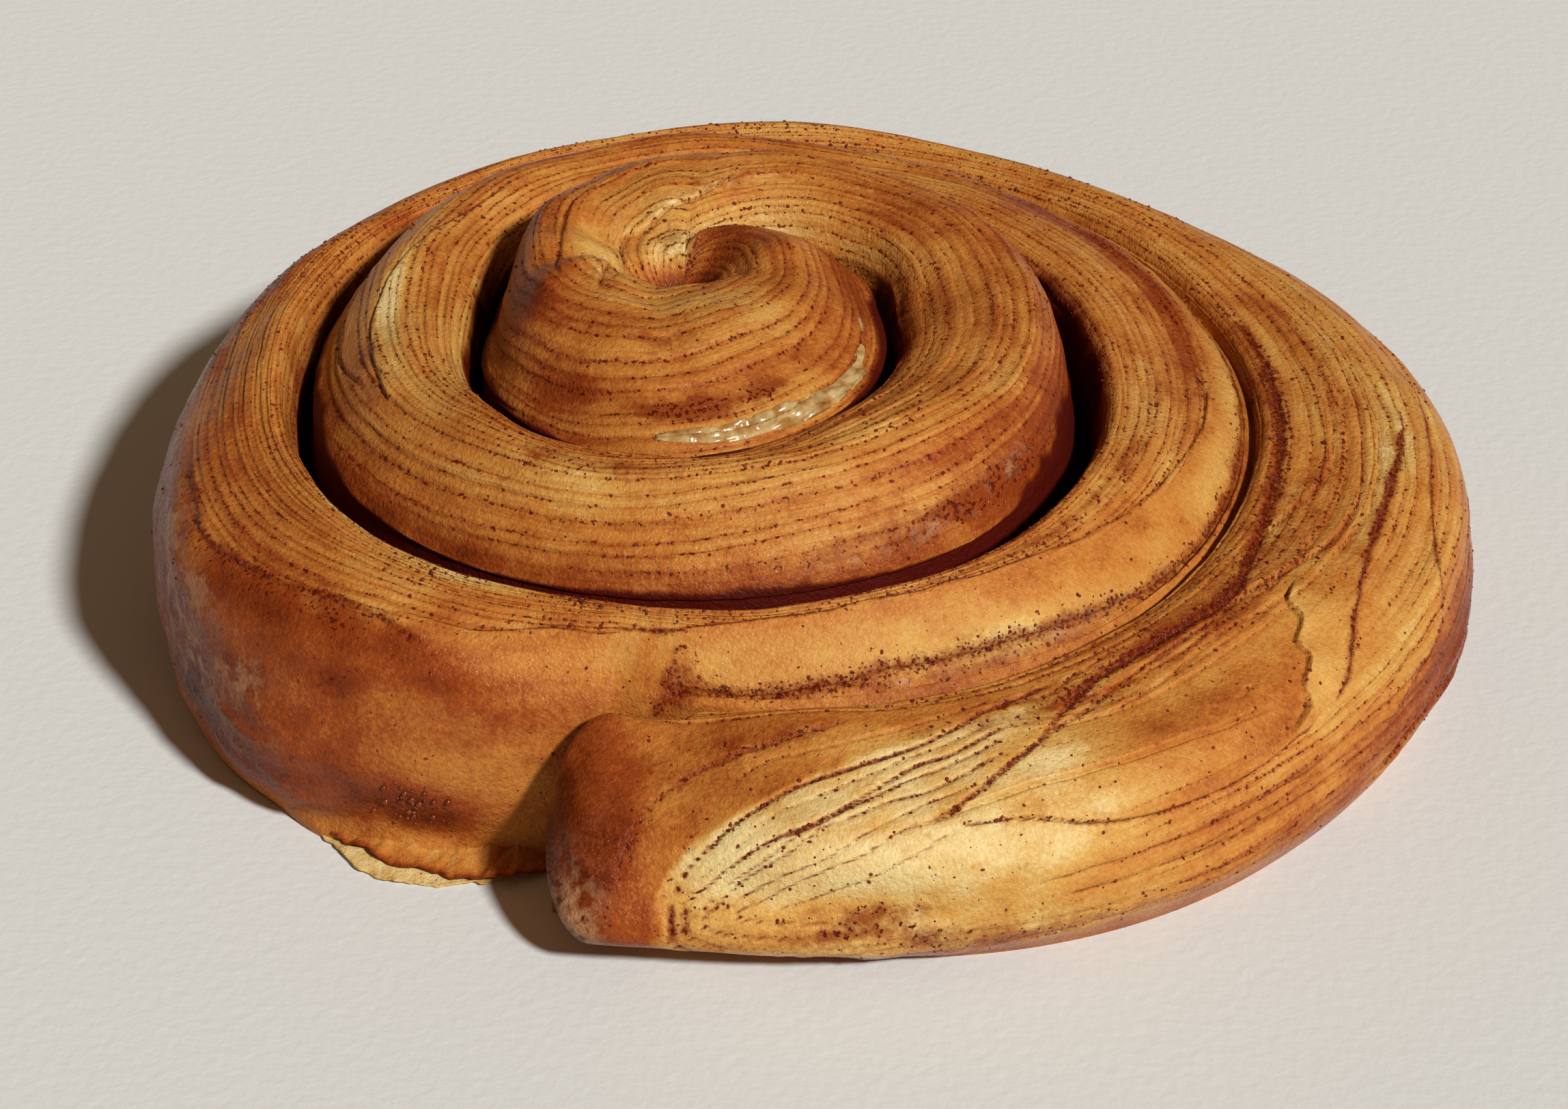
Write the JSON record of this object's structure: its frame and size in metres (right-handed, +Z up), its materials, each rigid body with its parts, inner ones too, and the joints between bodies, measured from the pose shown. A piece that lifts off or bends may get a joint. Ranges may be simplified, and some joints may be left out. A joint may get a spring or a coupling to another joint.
{
  "type": "cinnamon roll",
  "caption": "Flat round cinnamon roll: a strip of laminated dough coiled inward to a raised knob, with open grooves, layered ridges and a loose outer end.",
  "frame": {"origin": "centre of the bounding box on the surface the roll rests on", "axes": "+Z up, -Y towards the loose outer end of the strip, +X to the right of that end seen from the front"},
  "size_m": [0.1116, 0.1048, 0.0329],
  "materials": {
    "browned_dough": null
  },
  "bodies": {
    "root": {"cinnamon_roll": "browned_dough"}
  },
  "joints": []
}
